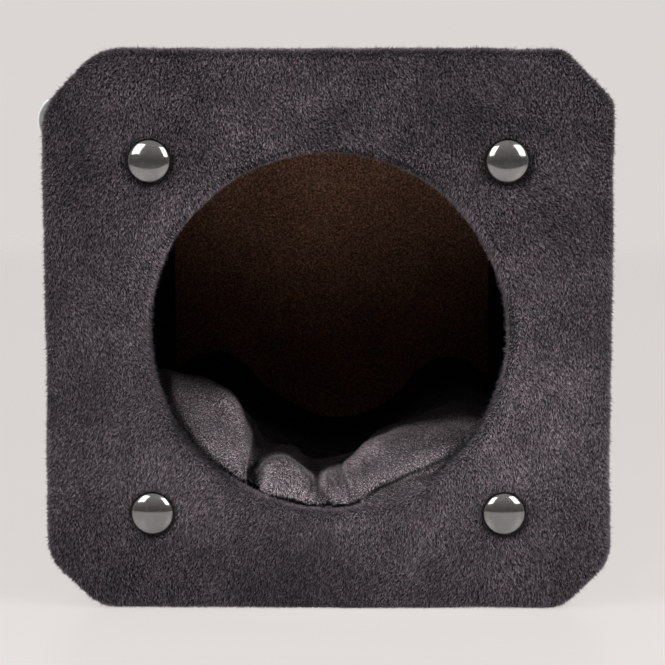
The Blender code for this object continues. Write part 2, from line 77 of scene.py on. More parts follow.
# Patches of the panels' nap that look lighter or darker, the broad ones painted light and shade (a lighter
# top and right side, a darker bottom and left side): x, z, radius and gain
NAP_AND_LIGHT_PATCHES = (
    (-0.039, 0.302, 0.030, 0.22), (0.098, 0.245, 0.030, 0.30), (-0.100, 0.225, 0.026, 0.16),
    (0.080, 0.318, 0.030, -0.26), (-0.160, 0.300, 0.030, -0.16), (0.030, 0.030, 0.030, 0.14),
    (-0.150, 0.040, 0.028, -0.12), (0.120, 0.130, 0.030, 0.12), (0.0, 0.320, 0.110, 0.26),
    (0.165, 0.190, 0.090, 0.12), (0.0, 0.025, 0.085, -0.54), (-0.160, 0.160, 0.080, -0.30),
)
FOLD_WIDTH = 0.008
WINDOW_GAP = 0.001
FLOOR_CLEAR = 0.0002
PANEL_LEAN = 44  # how far the pile leans over, in degrees
RIM_LEAN = 22  # and how much further in the entrance
CAP_BARE = 0.0138  # no pile grows nearer to a cap's centre
CAP_SHADE_REACH = 0.0190  # and out to here its pile has painted shade

# Pile
PIECE_FACES = 190000  # the most that one piece of pile holds
ROOT_SUNK = 0.0004
TILT_SPREAD = 7
GRAIN_MIDDLE = 0.42
GRAIN_SPREAD = 0.26
STRAY_SHARE = 0.04
STRAY_LEAN = 0.55
# How a kind of pile grows: sizes in metres, tilts in degrees; gather is how far tips meet in clumps,
# and mottle how far clumps differ in shade
Pile = namedtuple("Pile", "length width clump fan stray tilts gather mottle")
PANEL_PILE = Pile(0.0027, 0.00023, 0.0014, 0.35, 0.26, 18, 0.58, 0.22)
REAR_PILE = Pile(0.0033, 0.00046, 0.0025, 0.35, 0.12, 16, 0.6, 0.22)
STRAY_HAIRS = Pile(0.0040, 0.00027, 0.0030, 0.5, 0.5, 10, 0.1, 0.22)
CUSHION_PILE = Pile(0.0016, 0.00020, 0.0009, 0.30, 0.35, 14, 0.25, 0.14)

# The entrance, as in the solids
HOLE_RADIUS = 0.110
HOLE_CENTRE = 0.1735
RIM_SINK = 0.0019  # its cloth lies this far back, so that its pile's tips end near the solid's hole
RIM_RADIUS = HOLE_RADIUS + RIM_SINK

# Sizes that follow from the frame
FRONT_LOW, FRONT_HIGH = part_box("front_cover")
PANEL_HALF = (FRONT_HIGH.x - FRONT_LOW.x) / 2
PANEL_TOP = FRONT_HIGH.z
PANEL_T = FRONT_HIGH.y - FRONT_LOW.y
PLUSH_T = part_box("front_board")[0].y - FRONT_LOW.y
HALF_LENGTH = -FRONT_LOW.y
MAT_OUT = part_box("right_mat")[1].x
BODY_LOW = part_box("under_cover")[0].z
BODY_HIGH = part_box("top_mat")[1].z
CUSHION_LOW, CUSHION_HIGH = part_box("cushion")
BLOCK_LOW, BLOCK_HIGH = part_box("front_bottom_right_block")

# The cushion's front crest: height above its base from the left side (x in metres) to the right
FRONT_CREST = (
    (-0.1245, 0.086), (-0.119, 0.093), (-0.094, 0.092), (-0.079, 0.087), (-0.065, 0.080), (-0.057, 0.069),
    (-0.050, 0.052), (-0.046, 0.041), (-0.040, 0.0425), (-0.030, 0.046), (-0.022, 0.0425), (-0.015, 0.0325),
    (-0.011, 0.0305), (-0.004, 0.0325), (0.004, 0.0345), (0.016, 0.0405), (0.029, 0.0505), (0.043, 0.0575),
    (0.063, 0.063), (0.086, 0.0645), (0.105, 0.0615), (0.1245, 0.055),
)
REAR_CREST = (
    (-0.1245, 0.054), (-0.103, 0.068), (-0.075, 0.064), (-0.048, 0.038), (0.000, 0.016), (0.048, 0.034),
    (0.075, 0.060), (0.103, 0.065), (0.1245, 0.052),
)
# How far back its front is rounded
FOLD_LENGTH = (
    (-0.125, 0.044), (-0.060, 0.036), (-0.030, 0.022), (0.005, 0.024), (0.050, 0.040), (0.125, 0.048),
)
REAR_FOLD = 0.045
# Height of the seam along its front edge
SEAM = (
    (-0.125, 0.126), (-0.098, 0.110), (-0.083, 0.091), (-0.064, 0.078), (-0.045, 0.070), (-0.020, 0.067),
    (0.005, 0.0640), (0.0175, 0.0665), (0.031, 0.0745), (0.047, 0.0815), (0.067, 0.0905), (0.0865, 0.100),
    (0.095, 0.107), (0.125, 0.125),
)
SEAM_WIDTH = 0.0024
SEAM_DEPTH = 0.0060
# The creases between its lobes: x and z of a point on each, slope, width, strength, the height where it ends,
# over what height it fades, and depth
CREASES = (
    (0.0130, 0.0749, -0.65, 0.0034, 0.5, 0.086, 0.012, 0.0060),
    (-0.0453, 0.087, 0.105, 0.0048, 1.0, 0.116, 0.020, 0.0100),
    (-0.0106, 0.0786, -0.66, 0.0042, 0.7, 0.100, 0.015, 0.0080),
)
PLEAT_PITCH = 0.0066
CREST_HOLDS = 0.058
REAR_STARTS = 0.170
CUSHION_END_GAP = 0.004
CUSHION_GAP = 0.0003  # from its solid's base and sides to its cloth
BLOCK_GAP = 0.001
CUSHION_VOXEL = 0.004
CUSHION_SWELL = 0.006
CLOTH_FRAMES = 20
LEAN_OUT = 0.020  # how far its front lies forward into the entrance
LIP_REACH = 0.0085  # how much further at the lower right, over the rim
LIP_DROP = 0.0045


def lattice(cell, seed):
    """Pseudo-random numbers from -1 to 1 at whole-number points."""
    h = cell[..., 0] * 374761393 + cell[..., 1] * 668265263 + cell[..., 2] * 1440662683 + seed * 974634777
    h = ((h ^ (h >> 13)) * 1274126177) & 0xFFFFFFFF
    return ((h ^ (h >> 16)) & 0xFFFF) / 32767.5 - 1


def soft_noise(points, size, seed):
    """Smooth noise from -1 to 1 whose features are about as large as size."""
    scaled = points / size
    cell = np.floor(scaled).astype(np.int64)
    part = scaled - cell
    part = part * part * (3 - 2 * part)
    total = np.zeros(len(points))
    for corner in np.ndindex(2, 2, 2):
        weight = np.prod(np.where(corner, part, 1 - part), axis=1)
        total += weight * lattice(cell + corner, seed)
    return total


def ease(t):
    """A smooth step from 0 to 1 as t goes from 0 to 1."""
    t = np.clip(t, 0, 1)
    return t * t * (3 - 2 * t)


def smooth_curve(table, at):
    """Reads a table of (place, value) with a curve that passes through its points."""
    xs, ys = np.array(table).T
    slopes = np.gradient(ys, xs)
    i = np.clip(np.searchsorted(xs, at) - 1, 0, len(xs) - 2)
    span = xs[i + 1] - xs[i]
    t = np.clip((at - xs[i]) / span, 0, 1)
    value = ys[i] * (2 * t**3 - 3 * t**2 + 1) + ys[i + 1] * (3 * t**2 - 2 * t**3)
    return value + span * (slopes[i] * (t**3 - 2 * t**2 + t) + slopes[i + 1] * (t**3 - t**2))


def add_object(name, data):
    made = bpy.data.objects.new(name, data)
    bpy.context.scene.collection.objects.link(made)
    return made


def new_mesh(name, points, faces, finish, smooth=True):
    """A mesh object from an array of points and an array of faces with equal corner counts."""
    mesh = bpy.data.meshes.new(name)
    corners = faces.shape[1]
    mesh.vertices.add(len(points))
    mesh.vertices.foreach_set("co", np.asarray(points, np.float32).ravel())
    mesh.loops.add(faces.size)
    mesh.loops.foreach_set("vertex_index", faces.astype(np.int32).ravel())
    mesh.polygons.add(len(faces))
    mesh.polygons.foreach_set("loop_start", np.arange(0, faces.size, corners, dtype=np.int32))
    mesh.update(calc_edges=True)
    mesh.polygons.foreach_set("use_smooth", np.full(len(faces), smooth))
    mesh.materials.append(finish)
    return add_object(name, mesh)


def add_values(made, title, values):
    """Gives each point of a mesh a value that its material reads by title."""
    made.data.attributes.new(title, "FLOAT", "POINT").data.foreach_set("value", values.astype(np.float32))


def grid_faces(index, wrap_rows=False):
    """Quads between the rows of an array of point numbers; each row is a closed loop."""
    here = index if wrap_rows else index[:-1]
    there = np.roll(index, -1, axis=0) if wrap_rows else index[1:]
    quads = np.stack([here, np.roll(here, -1, axis=1), np.roll(there, -1, axis=1), there], axis=-1)
    return quads.reshape(-1, 4)


def close_loops(made, *loops):
    """Fills each loop of points with one face, and turns all faces outward."""
    bm = bmesh.new()
    bm.from_mesh(made.data)
    bm.verts.ensure_lookup_table()
    for loop in loops:
        bm.faces.new([bm.verts[i] for i in loop])
    bmesh.ops.recalc_face_normals(bm, faces=bm.faces)
    bm.to_mesh(made.data)
    bm.free()


def circle(x, z, radius, spin):
    """Points in X and Z round a circle."""
    return np.stack([x + radius * np.cos(spin), z + radius * np.sin(spin)], axis=1)


def ring_mesh(name, rings, finish, wrapped):
    """A closed mesh over rings given as (X and Z points, y): its last meets the first, or both are filled."""
    points = np.concatenate([np.insert(ring, 1, y, axis=1) for ring, y in rings])
    index = np.arange(len(points)).reshape(len(rings), -1)
    quads = grid_faces(index, wrap_rows=wrapped)
    if wrapped:
        return new_mesh(name, points, quads[:, ::-1], finish)
    made = new_mesh(name, points, quads, finish)
    close_loops(made, index[0][::-1], index[-1])
    return made


def belongs(made, body, slot, *nodes):
    """Attaches a piece to what it rides on and hides the solids it stands for; slot, its finish, is not used.
    """
    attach(made, body)
    if nodes:
        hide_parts(*nodes)


def outline_points(inset):
    """The panel's outline in X and Z: a rectangle with cut, rounded corners."""
    half_x = PANEL_HALF - inset
    half_z = PANEL_TOP / 2 - inset
    steps = 16
    points = []
    for (cut, rounding), (sign_x, sign_z) in zip(CORNERS, ((1, 1), (-1, 1), (-1, -1), (1, -1))):
        leg = cut - inset * (2 - math.sqrt(2))
        radius = rounding - inset
        run = radius * math.tan(math.pi / 8)
        corner = []
        for centre_x, centre_z, start in (
            (half_x - radius, half_z - leg - run, 0.0),
            (half_x - leg - run, half_z - radius, math.pi / 4),
        ):
            for i in range(steps + 1):
                a = start + math.pi / 4 * i / steps
                corner.append((centre_x + radius * math.cos(a), centre_z + radius * math.sin(a)))
        quarter = [(sign_x * x, sign_z * z + PANEL_TOP / 2) for x, z in corner]
        points += quarter if sign_x == sign_z else reversed(quarter)
    return np.array(points)


def cross(first, second):
    return first[..., 0] * second[..., 1] - first[..., 1] * second[..., 0]


def reach(points, angles):
    """How far a closed outline lies from the entrance's middle in each direction."""
    start = points - np.array([0, HOLE_CENTRE])
    run = np.roll(start, -1, axis=0) - start
    way = circle(0, 0, 1, angles)[:, None, :]
    across = cross(way, run)
    across = np.where(np.abs(across) < 1e-12, 1e-12, across)
    far = cross(start, run) / across
    share = cross(start, way) / across
    hit = (far > 0) & (share > -1e-6) & (share < 1 + 1e-6)
    return np.where(hit, far, 0).max(axis=1)


def quarter_round(radius, steps):
    """(inset, depth) along a quarter round from a face to its side."""
    angles = np.linspace(0, math.pi / 2, steps + 1)
    return [(radius * (1 - math.sin(a)), radius * (1 - math.cos(a))) for a in angles]


def panel_rings(front, angles):
    """Rings of a panel's cloth as (radius, depth, pile density): from the hole out, round and back inside."""
    sink = PANEL_SINK
    back = PANEL_T - sink / 2
    board = PANEL_T - PLUSH_T
    lined = sink + CLOTH_T
    outer = reach(outline_points(sink), angles)
    side = MAT_OUT + WINDOW_GAP
    low = BODY_LOW - WINDOW_GAP
    high = BODY_HIGH + WINDOW_GAP
    window = reach(np.array([(side, low), (side, high), (-side, high), (-side, low)]), angles)
    hole = RIM_RADIUS
    fold = HOLE_RADIUS + PLUSH_T + FOLD_WIDTH
    rings = []
    if front:
        rings += [(fold + (hole + RIM_ROUND - fold) * t, back, 0.5) for t in (0, 0.25, 0.5, 0.75)]
        rings += [(hole + inset, back - depth, 0.8) for inset, depth in quarter_round(RIM_ROUND, 5)]
        run = back - sink - 2 * RIM_ROUND
        rings += [(hole, back - RIM_ROUND - run * t, 1.0) for t in (0.33, 0.67)]
        rings += [(hole + inset, sink + depth, 1.0) for inset, depth in quarter_round(RIM_ROUND, 7)[::-1]]
        start = hole + RIM_ROUND
    else:
        start = REAR_START
        rings.append((start, sink, 1.0))
    edge = outer - EDGE_ROUND
    for t in np.linspace(0, 1, FACE_RINGS + 2)[1:-1]:
        rings.append((start + (edge - start) * t, sink, 1.0))
    rings += [(outer - inset, sink + depth, 1.0) for inset, depth in quarter_round(EDGE_ROUND, 7)]
    run = back - sink - 2 * EDGE_ROUND
    rings += [(outer, sink + EDGE_ROUND + run * t, 0.8) for t in (0.33, 0.67)]
    rings += [(outer - inset, back - depth, 0.6) for inset, depth in quarter_round(EDGE_ROUND, 6)[::-1]]
    rings += [(edge + (window - edge) * t, back, 0.45) for t in np.linspace(0, 1, 10)[1:]]
    inside = outer - CLOTH_T
    rings += [
        (window, board + BOARD_GAP, 0.0), (inside - FOLD_RUN, board + BOARD_GAP, 0.0),
        (inside, board - FOLD_RUN, 0.0), (inside, lined + FOLD_RUN, 0.0), (inside - FOLD_RUN, lined, 0.0),
    ]
    if front:
        inside = hole + RIM_CLOTH_T
        rings += [
            (inside + FOLD_RUN, lined, 0.0), (inside, lined + FOLD_RUN, 0.0),
            (inside, board - FOLD_RUN / 2, 0.0), (fold, board + BOARD_GAP, 0.0),
        ]
    else:
        rings.append((start, lined, 0.0))
    return rings


def panel_cloth(end_name, finish):
    """The plush cloth of a panel, a closed sheet wrapped round its board, and its pile's density."""
    front = end_name == "front"
    end = -1 if front else 1
    angles = np.arange(TURNS) * math.tau / TURNS
    rings = panel_rings(front, angles)
    placed = [(circle(0, HOLE_CENTRE, radius, angles), end * (HALF_LENGTH - depth))
              for radius, depth, _ in rings]
    density = np.repeat([ring[2] for ring in rings], TURNS)
    if not front:
        density = density[:-TURNS]
    return ring_mesh(f"{end_name}_plush_cloth", placed, finish, wrapped=front), density


def mesh_arrays(made):
    """A mesh's points and their normals."""
    points = np.empty((len(made.data.vertices), 3), np.float32)
    normals = points.copy()
    made.data.vertices.foreach_get("co", points.ravel())
    made.data.vertex_normals.foreach_get("vector", normals.ravel())
    return points.astype(float), normals.astype(float)


def set_points(made, points):
    made.data.vertices.foreach_set("co", points.astype(np.float32).ravel())
    made.data.update()


def quad_corners(made, number):
    """Point numbers of a mesh's first quads."""
    corners = np.empty(len(made.data.loops), np.int32)
    made.data.loops.foreach_get("vertex_index", corners)
    return corners[: number * 4].reshape(-1, 4)


def scatter(made, density, per_mm2, draw):
    """Roots spread evenly over the first quads of a mesh, as many as density has: places and normals."""
    points, normals = mesh_arrays(made)
    quads = quad_corners(made, len(density))
    tris = np.concatenate([quads[:, [0, 1, 2]], quads[:, [0, 2, 3]]], axis=1).reshape(-1, 3)
    a, b, c = (points[tris[:, i]] for i in range(3))
    area = np.linalg.norm(np.cross(b - a, c - a), axis=1) / 2 * np.repeat(density, 2)
    total = np.cumsum(area) * 1e6 * per_mm2
    number = int(total[-1])
    chosen = np.minimum(np.searchsorted(total, np.arange(number) + draw.random(number)), len(tris) - 1)
    u, v = draw.random((2, number))
    flip = u + v > 1
    u[flip], v[flip] = 1 - u[flip], 1 - v[flip]
    share = np.stack([1 - u - v, u, v], axis=1)[:, :, None]
    roots = (points[tris[chosen]] * share).sum(axis=1)
    facing = (normals[tris[chosen]] * share).sum(axis=1)
    return roots, facing / np.linalg.norm(facing, axis=1, keepdims=True)


def clump_spots(points, size, seed):
    """The nearest to each point of many loose spots that lie about size apart."""
    cell = np.floor(points / size).astype(np.int64)
    best = np.full(len(points), np.inf)
    nearest = np.empty_like(points)
    for step in np.ndindex(3, 3, 3):
        there = cell + step - 1
        offset = np.stack([lattice(there, seed + i) for i in range(3)], axis=1)
        spot = (there + 0.5 + 0.42 * offset) * size
        far = ((spot - points) ** 2).sum(axis=1)
        closer = far < best
        best[closer] = far[closer]
        nearest[closer] = spot[closer]
    return nearest


def along_surface(ways, facing):
    """What is left of each direction when its part along the surface's normal is taken out."""
    return ways - (ways * facing).sum(axis=1, keepdims=True) * facing


def grow_pile(name, tufts, style, finish, draw):
    """Closed three-sided tufts that gather in clumps and lean along the nap, each with its place on a map."""
    roots, facing, nap, lean, light = tufts
    number = len(roots)
    spots = clump_spots(roots, style.clump, 31)
    own = np.stack([lattice(np.rint(spots * 1e6).astype(np.int64), 91 + i) for i in range(5)], axis=1)
    flat = along_surface(nap, facing)
    flat += style.fan * own[:, :3] + draw.normal(0, style.stray, (number, 3))
    flat = along_surface(flat, facing)
    flat /= np.maximum(np.linalg.norm(flat, axis=1, keepdims=True), 1e-6)
    tilt = np.radians(lean + style.tilts * own[:, 3] + draw.normal(0, TILT_SPREAD, number))
    way = facing * np.cos(tilt)[:, None] + flat * np.sin(tilt)[:, None]
    size = style.length * draw.uniform(0.75, 1.15, number)
    gather = along_surface(spots - roots, facing)
    side = np.cross(facing, flat)
    turn = draw.uniform(0, math.tau, number)
    wide = style.width * draw.uniform(0.75, 1.25, number)
    points = np.empty((number, 4, 3))
    for i in range(3):
        a = turn + math.tau * i / 3
        spoke = np.cos(a)[:, None] * flat + np.sin(a)[:, None] * side
        points[:, i] = roots + wide[:, None] * spoke - ROOT_SUNK * facing
    points[:, 3] = roots + way * size[:, None] + gather * style.gather
    points[:, :, 2] = np.maximum(points[:, :, 2], FLOOR_CLEAR)
    base = np.arange(number)[:, None, None] * 4
    faces = (base + np.array([[0, 1, 3], [1, 2, 3], [2, 0, 3], [2, 1, 0]])).reshape(-1, 3)
    made = new_mesh(name, points.reshape(-1, 3), faces, finish, smooth=False)
    grain = GRAIN_MIDDLE + style.mottle * own[:, 4] + draw.normal(0, GRAIN_SPREAD, number)
    add_values(made, "tip", np.tile([0, 0, 0, 1.0], number))
    add_values(made, "shade", np.repeat(np.clip(grain, 0, 1) ** 2, 4))
    # each tuft's painted light and shade
    add_values(made, "light", np.repeat(light, 4))
    cells = math.ceil(math.sqrt(number))
    cell = np.stack([np.arange(number) % cells, np.arange(number) // cells], axis=1)[:, None, :]
    place = (cell + np.array([[0.1, 0.1], [0.5, 0.25], [0.9, 0.1], [0.5, 0.9]])) / cells
    layer = made.data.uv_layers.new(name="OFBake")
    layer.data.foreach_set("uv", place.reshape(-1, 2)[faces.ravel()].astype(np.float32).ravel())
    return made


def grow_over(prefix, place, tufts, style, finish, draw, order):
    """Grows pile in as many pieces as it needs; tufts are roots, normals, nap, lean and painted light and
    shade.
    """
    pieces = math.ceil(len(order) * 4 / PIECE_FACES)
    for i, part in enumerate(np.array_split(np.argsort(order), pieces)):
        made = grow_pile(f"{prefix}_{i + 1}", [values[part] for values in tufts], style, finish, draw)
        belongs(made, *place)


class Tree:
    """The node tree of a material or the world; a method that adds a node gives its output."""

    def __init__(self, owner):
        owner.use_nodes = True
        self.owner = owner
        self.nodes = owner.node_tree.nodes
        self.links = owner.node_tree.links

    def finish(self, inputs):
        """Feeds the material's shader and gives the material."""
        self.feed(self.nodes["Principled BSDF"], inputs)
        return self.owner

    def feed(self, node, inputs):
        """Sets each input to a plain value, or links it where an output is given."""
        for title, given in inputs.items():
            if isinstance(given, bpy.types.NodeSocket):
                self.links.new(given, node.inputs[title])
            else:
                node.inputs[title].default_value = given

    def add(self, kind, output, inputs=None, **settings):
        node = self.nodes.new(f"ShaderNode{kind}")
        for title, value in settings.items():
            setattr(node, title, value)
        self.feed(node, inputs or {})
        return node.outputs[output]

    def noise(self, scale, detail, stretch=None):
        """A noise texture on the object's own coordinates."""
        where = self.add("TexCoord", "Object")
        if stretch:
            where = self.add("Mapping", "Vector", {"Vector": where, "Scale": stretch})
        return self.add("TexNoise", "Fac", {"Vector": where, "Scale": scale, "Detail": detail})

    def patches(self, scale, low, high):
        """Soft patches of noise between two values."""
        return self.span(self.noise(scale, 3), 0.3, 0.7, low, high)

    def ramp(self, source, *stops):
        """Colours between (place, colour) stops."""
        node = self.nodes.new("ShaderNodeValToRGB")
        elements = node.color_ramp.elements
        while len(elements) < len(stops):
            elements.new(0.5)
        for element, (place, colour) in zip(elements, stops):
            element.position = place
            element.color = (*colour, 1)
        self.feed(node, {"Fac": source})
        return node.outputs["Color"]

    def span(self, source, low, high, to_low, to_high):
        """Carries values from one range over to another."""
        return self.add("MapRange", "Result", {
            "Value": source, "From Min": low, "From Max": high, "To Min": to_low, "To Max": to_high,
        })

    def math(self, operation, first, second):
        return self.add("Math", "Value", {0: first, 1: second}, operation=operation)

    def times(self, first, second):
        return self.math("MULTIPLY", first, second)

    def scale(self, colour, factor):
        return self.add("VectorMath", "Vector", {0: colour, "Scale": factor}, operation="SCALE")

    def mix(self, factor, first, second, kind):
        return self.add("Mix", "Result", {"Factor": factor, "A": first, "B": second}, data_type=kind)

    def axis(self, vector, name):
        return self.add("SeparateXYZ", name, {0: vector})

    def own(self, title):
        """A value that each point of the mesh carries."""
        return self.add("Attribute", "Fac", attribute_name=title)

    def ray(self, kind):
        return self.add("LightPath", f"Is {kind} Ray")

    def shown(self):
        """Is 1 where the camera looks, straight or through something clear."""
        return self.math("MAXIMUM", self.ray("Camera"), self.ray("Transmission"))

    def bump(self, height, distance):
        return self.add("Bump", "Normal", {"Height": height, "Distance": distance, "Strength": 0.6})


def new_material(name):
    return Tree(bpy.data.materials.new(name))


def tinted(colour, factor):
    return tuple(c * factor for c in colour)


def pile_material(name, root, tip, spread=(0.45, 3.2), sheen=0.06):
    """Pile whose colour runs from a dark root, painted shade deep in the pile, to a light tip, and differs
    from tuft to tuft and from place to place; its light attribute adds painted light and shade.
    """
    tree = new_material(name)
    # dark roots: painted shade deep in the pile
    ramp = tree.ramp(tree.own("tip"), (0, root), (1, tip))
    tufts = tree.span(tree.own("shade"), 0, 1, *spread)
    # random patches times the light attribute of painted light and shade
    lit = tree.times(tree.patches(42, 0.78, 1.24), tree.own("light"))
    return tree.finish({
        "Base Color": tree.scale(ramp, tree.times(tufts, lit)), "Roughness": 0.9, "Specular IOR Level": 0.2,
        "Sheen Weight": sheen, "Sheen Roughness": 0.45,
    })


def fabric_material(name, dark, light, with_painted_light=False):
    """Plain cloth or felt: fine fibres and soft patches. Cloth with painted light takes the painted light and
    shade of its light attribute.
    """
    tree = new_material(name)
    fibres = tree.noise(900, 4)
    patches = tree.patches(60, 0.8, 1.2)
    # painted light and shade from the light attribute
    if with_painted_light:
        patches = tree.times(patches, tree.own("light"))
    ramp = tree.ramp(fibres, (0.35, dark), (0.65, light))
    return tree.finish({
        "Base Color": tree.scale(ramp, patches), "Normal": tree.bump(fibres, 0.0004),
        "Roughness": 0.95, "Specular IOR Level": 0.1,
    })


def board_material(name, colour):
    """Brown fibreboard: pressed fibres, dark specks and a faint cloudiness."""
    tree = new_material(name)
    fibres = tree.noise(620, 6)
    dots = tree.span(tree.noise(1100, 2), 0.36, 0.56, 0.45, 1.35)
    ramp = tree.ramp(fibres, (0.36, tinted(colour, 0.40)), (0.52, colour), (0.66, tinted(colour, 1.9)))
    return tree.finish({
        "Base Color": tree.scale(ramp, tree.times(dots, tree.patches(22, 0.82, 1.18))),
        "Normal": tree.bump(fibres, 0.0003), "Roughness": 0.8, "Specular IOR Level": 0.25,
    })


def wood_material(name):
    """Pale softwood with grain along Y."""
    tree = new_material(name)
    rings = tree.noise(260, 4, (1, 0.08, 1))
    ramp = tree.ramp(rings, (0.35, (0.36, 0.22, 0.11)), (0.6, (0.56, 0.39, 0.22)))
    return tree.finish({"Base Color": ramp, "Normal": tree.bump(rings, 0.0002), "Roughness": 0.7})


def metal_material(name, colour, roughness):
    """Metal whose tint and polish vary a little."""
    tree = new_material(name)
    grain = tree.noise(320, 3)
    return tree.finish({
        "Base Color": tree.ramp(grain, (0.3, tinted(colour, 0.92)), (0.7, tinted(colour, 1.06))),
        "Roughness": tree.span(grain, 0.3, 0.7, roughness * 0.7, roughness * 1.4), "Metallic": 1.0,
    })


def nylon_material(name, dark, light):
    tree = new_material(name)
    clouds = tree.ramp(tree.noise(130, 2), (0.35, dark), (0.65, light))
    return tree.finish({"Base Color": clouds, "Roughness": 0.5})


def sisal_material(name):
    """Straw-coloured twine, lighter on top of each cord with painted shade down in the hollows between cords
    and at the mat's edges, and streaked along it.
    """
    tree = new_material(name)
    twist = tree.noise(900, 4)
    tone = tree.span(twist, 0.3, 0.7, 0.72, 1.25)
    # painted shade: the twine darkens with falling height into the hollows and towards the mat's edges
    ramp = tree.ramp(tree.own("height"), (0.0, (0.10, 0.065, 0.03)), (0.55, (0.40, 0.29, 0.15)),
                     (1.0, (0.56, 0.43, 0.25)))
    return tree.finish({
        "Base Color": tree.scale(ramp, tree.times(tone, tree.patches(35, 0.88, 1.1))),
        "Normal": tree.bump(twist, 0.0003), "Roughness": 0.85,
    })


def disc_material(name):
    """Cloudy clear plastic whose thick rim is painted near white, a painted highlight."""
    tree = new_material(name)
    low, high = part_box("tag_disc")
    radius = (high.x - low.x) / 2
    place = tree.add("TexCoord", "Object")
    from_centre = tree.add("VectorMath", "Value", {0: place, 1: (low + high) / 2}, operation="DISTANCE")
    # painted highlight: near white towards the rim
    rim = tree.span(from_centre, radius - 0.0015, radius - 0.0006, 0, 1)
    grey = tree.ramp(tree.noise(150, 2), (0.35, (0.30, 0.295, 0.30)), (0.65, (0.38, 0.37, 0.375)))
    return tree.finish({
        "Base Color": tree.mix(rim, grey, (0.95, 0.95, 0.95, 1), "RGBA"), "Roughness": 0.18, "Alpha": 0.82,
    })


def floor_material(name):
    """Pale table that keeps a weakened shadow and fades into the wall, with painted shade making its glow
    darker from the front panel's line back.
    """
    tree = new_material(name)
    tone = tree.ramp(tree.noise(3, 2), (0.3, (0.80, 0.785, 0.775)), (0.7, (0.82, 0.805, 0.795)))
    made = tree.finish({"Base Color": tone, "Roughness": 0.3})
    lit = tree.nodes["Principled BSDF"].outputs["BSDF"]
    place = tree.add("TexCoord", "Object")
    along = tree.axis(place, "Y")
    # painted shade: the glow is darker from the front panel's line back than in front of it
    near = tree.span(along, -0.215 - FLOOR_MIDDLE, -0.165 - FLOOR_MIDDLE, 0, 1)
    pale = tree.ramp(near, (0, (0.785, 0.742, 0.722)), (1, (0.755, 0.712, 0.695)))
    glow = tree.add("Emission", "Emission", {"Color": pale})
    share = tree.span(tree.shown(), 0, 1, 0, BACKDROP_SHARE)
    table = tree.add("MixShader", "Shader", {"Fac": share, 1: lit, 2: glow})
    ended = tree.span(along, TABLE_END - 0.02 - FLOOR_MIDDLE, TABLE_END - FLOOR_MIDDLE, 1, 0)
    mirrored = tree.times(ended, tree.ray("Glossy"))
    from_middle = tree.add("VectorMath", "Value", {0: place}, operation="LENGTH")
    gone = tree.math("MAXIMUM", tree.span(from_middle, *FLOOR_FADES, 0, 1), mirrored)
    clear = tree.add("BsdfTransparent", "BSDF")
    faded = tree.add("MixShader", "Shader", {"Fac": gone, 1: table, 2: clear})
    tree.feed(tree.nodes["Material Output"], {"Surface": faded})
    return made


def studio_world():
    """A bright wall beyond the object and a dim room behind the camera."""
    world = bpy.data.worlds.new("studio")
    bpy.context.scene.world = world
    tree = Tree(world)
    way = tree.add("TexCoord", "Generated")
    height = tree.span(tree.axis(way, "Z"), -0.3, 1, 0, 1)
    room = tree.ramp(height, (0.0, (0.30, 0.295, 0.29)), (0.23, (0.20, 0.195, 0.19)),
                     (0.42, (0.34, 0.33, 0.325)), (0.80, (0.62, 0.61, 0.60)))
    beyond = tree.axis(way, "Y")
    walled = tree.math("MAXIMUM", tree.shown(), tree.span(beyond, -0.35, 0.45, 0, 1))
    lighting = tree.span(beyond, -0.2, 0.6, FRONT_SKY, WALL_SKY)
    tree.feed(tree.nodes["Background"], {
        "Color": tree.mix(walled, room, WALL_COLOUR, "RGBA"),
        "Strength": tree.mix(tree.ray("Diffuse"), 1, lighting, "FLOAT"),
    })


def aimed_lamp(name, kind, place, aim, power):
    lamp = bpy.data.lights.new(name, kind)
    lamp.energy = power
    made = add_object(name, lamp)
    made.location = place
    made.rotation_euler = (Vector(aim) - Vector(place)).to_track_quat("-Z", "Y").to_euler()
    return made


def soft_box(name, place, aim, size, power):
    made = aimed_lamp(name, "AREA", place, aim, power)
    made.data.shape = "RECTANGLE"
    made.data.size, made.data.size_y = size
    return made


def table_bounce():
    """What the pale table throws up at the front, which nothing mirrors."""
    made = soft_box("table_bounce", (0.0, -0.38, 0.012), (0, 0.2, 0.29), (0.50, 0.16), 0.18)
    made.data.spread = math.radians(50)
    made.visible_camera = False
    made.visible_glossy = False


def entrance_light():
    """A soft-edged oval spot into the entrance, wider than it is tall, which nothing mirrors."""
    made = aimed_lamp("entrance_light", "SPOT", (-0.24, -1.12, 0.80), (0.005, -0.18, 0.100), 270)
    made.data.spot_size = math.radians(4.6)
    made.data.spot_blend = 0.8
    made.data.shadow_soft_size = 0.10
    made.scale = (2.8, 1, 1)
    made.visible_glossy = False


def make_floor():
    """A large pale disc."""
    spin = np.arange(64) * math.tau / 64
    points = np.concatenate([np.insert(circle(0, 0, r, spin), 2, 0, axis=1) for r in FLOOR_RINGS])
    index = np.arange(len(points)).reshape(len(FLOOR_RINGS), -1)
    floor = new_mesh("floor", points, grid_faces(index)[:, ::-1], floor_material("pale_floor"))
    floor.location = (0, FLOOR_MIDDLE, 0)


def make_camera():
    data = bpy.data.cameras.new("camera")
    data.lens = CAMERA_LENS
    made = add_object("camera", data)
    made.location = CAMERA_PLACE
    made.rotation_euler = (math.pi / 2 - CAMERA_PITCH, 0, CAMERA_YAW)
    bpy.context.scene.camera = made
    bpy.context.scene.view_settings.view_transform = "Standard"


